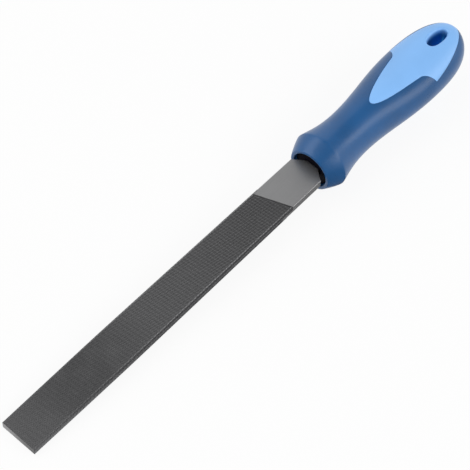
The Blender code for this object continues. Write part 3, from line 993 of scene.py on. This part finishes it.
def core_finish(s):
    """Light-blue hard plastic: smooth, with a faint moulded unevenness, and painted shade inside the hanging
    hole, darkest at its front wall.
    """
    form = HandleForm(s)
    material, shader, wire = new_finish("light_blue_plastic")
    spot, (x, y, z) = wire.place()
    cloud = wire.grain(spot, 36.0, 3.0, 0.5)
    peel = wire.grain(spot, 420.0)
    speck = wire.grain(spot, 5200.0, 1.0)
    base = wire.tint(cloud.step(0.3, 0.75), scaled(s.core_colour, 0.96), scaled(s.core_colour, 1.03))
    base = wire.tint(speck.step(0.66, 0.82) * 0.3, base, scaled(s.core_colour, 0.88))
    # Painted shade inside the hanging hole: dark at the front wall and lighter towards the butt. The hole is
    # also made partly metallic so that it takes less light.
    toward_butt = ((x - form.hole) / s.hole_length + 0.5).step(0.0, 1.0)
    wall = wire.tint(toward_butt, scaled(s.hole_shade_colour, 0.2), scaled(s.hole_shade_colour, 1.3))
    depth = hole_shade_mask(form, x, y, z)
    connect(shader, {"Base Color": wire.tint(depth, base, wall), "Metallic": 0.75 * depth,
                     "Roughness": 0.36 + 0.08 * (cloud - 0.5) + 0.05 * (peel - 0.5),
                     "Normal": wire.bump(peel + 0.25 * speck, 0.02 * MM, 0.35)})
    return material


def collar_finish(s):
    """Black moulded plastic with a fine matt grain, its black made deeper as painted shade of the mouth's
    recess.
    """
    material, shader, wire = new_finish("black_plastic")
    spot, _ = wire.place()
    cloud = wire.grain(spot, 160.0, 3.0)
    grain = wire.grain(spot, 4200.0)
    base = wire.tint(cloud.step(0.35, 0.75), s.collar_black_and_shade, scaled(s.collar_black_and_shade, 1.9))
    connect(shader, {"Base Color": base, "Specular IOR Level": 0.05,
                     "Roughness": 0.6 + 0.15 * (grain - 0.5), "Normal": wire.bump(grain, 0.02 * MM, 0.5)})
    return material


# Studio


def seen(wire):
    """1 for what the camera, a reflection or a clear surface sees, 0 for plain lighting."""
    rays = wire.node("ShaderNodeLightPath").socket.node
    camera, glossy, through = (Wire(wire.tree, rays.outputs[name])
                               for name in ("Is Camera Ray", "Is Glossy Ray", "Is Transmission Ray"))
    return camera.at_least(glossy).at_least(through)


def show(material, surface):
    """Makes a wire the material's visible surface."""
    connect(material.node_tree.nodes["Material Output"], {"Surface": surface})


def glow(wire, strength):
    """A white light of its own."""
    return wire.node("ShaderNodeEmission", sockets={"Color": opaque(WHITE), "Strength": strength})


def floor_place(scene):
    """Where the floor lies: its origin under the flange, tilted so that it meets the tip too."""
    blade, gap = scene.flat_file_blade, scene.flat_file_stage.floor_gap
    flange_x, flange_z = GRIP_LOW[0] + scene.flat_file_handle.flange_from_rim, GRIP_LOW[2] - gap
    tip_x, tip_z = BLADE_LOW[0], -0.5 * blade.tip_thickness - gap
    tilt = math.atan2(tip_z - flange_z, flange_x - tip_x)
    return Matrix.Translation((flange_x, 0.0, flange_z)) @ Matrix.Rotation(tilt, 4, "Y")


def add_floor(s, ground):
    """A pale floor that the flange and the tip rest on, plain white to the eye apart from the shadow."""
    shape = bmesh.new()
    bmesh.ops.create_grid(shape, x_segments=4, y_segments=4, size=4.0)
    floor = add_object("studio_floor", mesh_from("studio_floor", shape))
    floor.matrix_world = ground
    material, shader, wire = new_finish("pale_floor")
    connect(shader, {"Base Color": opaque(s.floor_colour), "Roughness": 0.9, "Specular IOR Level": 0.0})
    lit = Wire(wire.tree, shader.outputs[0])
    show(material, wire.node("ShaderNodeMixShader",
                             sockets={0: s.floor_white * seen(wire), 1: lit, 2: glow(wire, 1.0)}))
    floor.data.materials.append(material)


def lying(x, y, height):
    """Corners of a level flag between two places along X and two along Y."""
    return [(x[0], y[0], height), (x[1], y[0], height), (x[1], y[1], height), (x[0], y[1], height)]


def standing(first, last, height):
    """Corners of an upright flag between two places on the ground."""
    return [(*first, 0.0), (*first, height), (*last, height), (*last, 0.0)]


def add_flag(name, corners, level):
    """A dim flag that only shows in reflections, so that glossy sides stand out from the rest."""
    shape = bmesh.new()
    shape.faces.new([shape.verts.new(corner) for corner in corners])
    flag = add_object(name, mesh_from(name, shape))
    material, _, wire = new_finish(name)
    show(material, glow(wire, level))
    flag.data.materials.append(material)
    flag.visible_camera = flag.visible_diffuse = flag.visible_transmission = flag.visible_shadow = False


def add_flags(s, ground):
    """The flags over the file, beside the camera and on the floor in front of the blade."""
    left, middle, right = (-1.3, 0.9), (-1.3, -0.6), (-0.3, -1.5)
    add_flag("overhead_flag", lying((-3.0, 3.0), (-1.0, 0.62), s.flag_height), s.flag)
    add_flag("front_flag", standing(left, middle, s.flag_height), s.front_flag)
    add_flag("corner_flag", standing(middle, right, s.flag_height), s.front_flag)
    table = lying((-1.2, 0.010), (-1.2, -0.012), 0.4 * MM)
    add_flag("table_flag", [ground @ Vector(corner) for corner in table], s.front_flag)


def add_softbox(name, place, target_x, size, watts):
    """A rectangular softbox that points at a place on the file's axis."""
    light = bpy.data.lights.new(name, "AREA")
    light.shape = "RECTANGLE"
    light.size, light.size_y = size
    light.energy = watts
    lamp = add_object(name, light)
    lamp.location = place
    aim = Vector((target_x, 0.0, 0.0)) - Vector(place)
    lamp.rotation_euler = aim.to_track_quat("-Z", "Y").to_euler()


def add_world(s):
    """Even light from all round, plain white to the eye and in reflections."""
    world = bpy.data.worlds.new("studio_light")
    world.use_nodes = True
    level = blend(s.sky, 1.0, seen(Wire(world.node_tree)))
    connect(world.node_tree.nodes["Background"], {"Color": opaque(WHITE), "Strength": level})
    bpy.context.scene.world = world


def add_camera(s):
    """The camera at the photograph's viewing angle."""
    data = bpy.data.cameras.new("photo_camera")
    data.lens = s.lens
    data.sensor_width = 36.0
    data.sensor_fit = "HORIZONTAL"
    camera = add_object("photo_camera", data)
    camera.location = s.camera_place
    camera.rotation_euler = s.camera_turn
    bpy.context.scene.camera = camera


# Add-on


class FLATFILE_OT_blade(bpy.types.Operator):
    """Adds the steel blade with its double-cut faces, cut edges, heel and tang"""
    bl_idname = "flat_file.add_blade"
    bl_label = "Blade"

    def execute(self, context):
        s = context.scene.flat_file_blade
        new_piece("cut_steel_blade", blade_mesh(s), steel_finish(s), "file_blade", 12.0)
        return {"FINISHED"}


class FLATFILE_OT_collar(bpy.types.Operator):
    """Adds the black collar in the handle's mouth"""
    bl_idname = "flat_file.add_collar"
    bl_label = "Collar"

    def execute(self, context):
        s = context.scene.flat_file_handle
        new_piece("slotted_collar", collar_mesh(s), collar_finish(s), "mouth_collar", 35.0)
        return {"FINISHED"}


class FLATFILE_OT_core(bpy.types.Operator):
    """Adds the light-blue core with its window faces and hanging hole"""
    bl_idname = "flat_file.add_core"
    bl_label = "Core"

    def execute(self, context):
        s = context.scene.flat_file_handle
        new_piece("moulded_core", core_mesh(s), core_finish(s), "handle_core", 40.0)
        return {"FINISHED"}


class FLATFILE_OT_grip(bpy.types.Operator):
    """Adds the dark-blue soft grip"""
    bl_idname = "flat_file.add_grip"
    bl_label = "Grip"

    def execute(self, context):
        s = context.scene.flat_file_handle
        new_piece("moulded_grip", grip_mesh(s), grip_finish(s), "soft_grip", 50.0)
        return {"FINISHED"}


class FLATFILE_OT_stage(bpy.types.Operator):
    """Sets the pale floor, the soft studio light and the camera"""
    bl_idname = "flat_file.set_stage"
    bl_label = "Studio"

    def execute(self, context):
        s = context.scene.flat_file_stage
        ground = floor_place(context.scene)
        add_floor(s, ground)
        add_world(s)
        add_flags(s, ground)
        add_softbox("side_softbox", s.side_place, target_x=0.10, size=(2.8, 1.0), watts=s.side_power)
        add_softbox("top_softbox", s.top_place, target_x=0.04, size=(1.4, 1.4), watts=s.top_power)
        add_camera(s)
        context.scene.view_settings.view_transform = "Standard"
        return {"FINISHED"}


class FLATFILE_PT_panel(bpy.types.Panel):
    """Lists the steps that build the file and its studio"""
    bl_idname = "FLATFILE_PT_panel"
    bl_label = "Flat File"
    bl_space_type = "VIEW_3D"
    bl_region_type = "UI"
    bl_category = "Flat File"

    def draw(self, context):
        for step in OPERATORS:
            self.layout.operator(step.bl_idname)


OPERATORS = (FLATFILE_OT_blade, FLATFILE_OT_collar, FLATFILE_OT_core, FLATFILE_OT_grip, FLATFILE_OT_stage)
SETTINGS = {"flat_file_blade": FlatFileBladeSettings, "flat_file_handle": FlatFileHandleSettings,
            "flat_file_stage": FlatFileStageSettings}
CLASSES = (*SETTINGS.values(), *OPERATORS, FLATFILE_PT_panel)


def register():
    """Registers the classes and puts their settings on the scene."""
    for cls in CLASSES:
        bpy.utils.register_class(cls)
    for name, cls in SETTINGS.items():
        setattr(bpy.types.Scene, name, PointerProperty(type=cls))


def unregister():
    """Takes away what register added."""
    for name in SETTINGS:
        delattr(bpy.types.Scene, name)
    for cls in reversed(CLASSES):
        bpy.utils.unregister_class(cls)


def main():
    """Builds the pieces and the studio."""
    register()
    bpy.ops.flat_file.add_blade()
    bpy.ops.flat_file.add_collar()
    bpy.ops.flat_file.add_core()
    bpy.ops.flat_file.add_grip()
    bpy.ops.flat_file.set_stage()


if __name__ == "__main__":
    main()
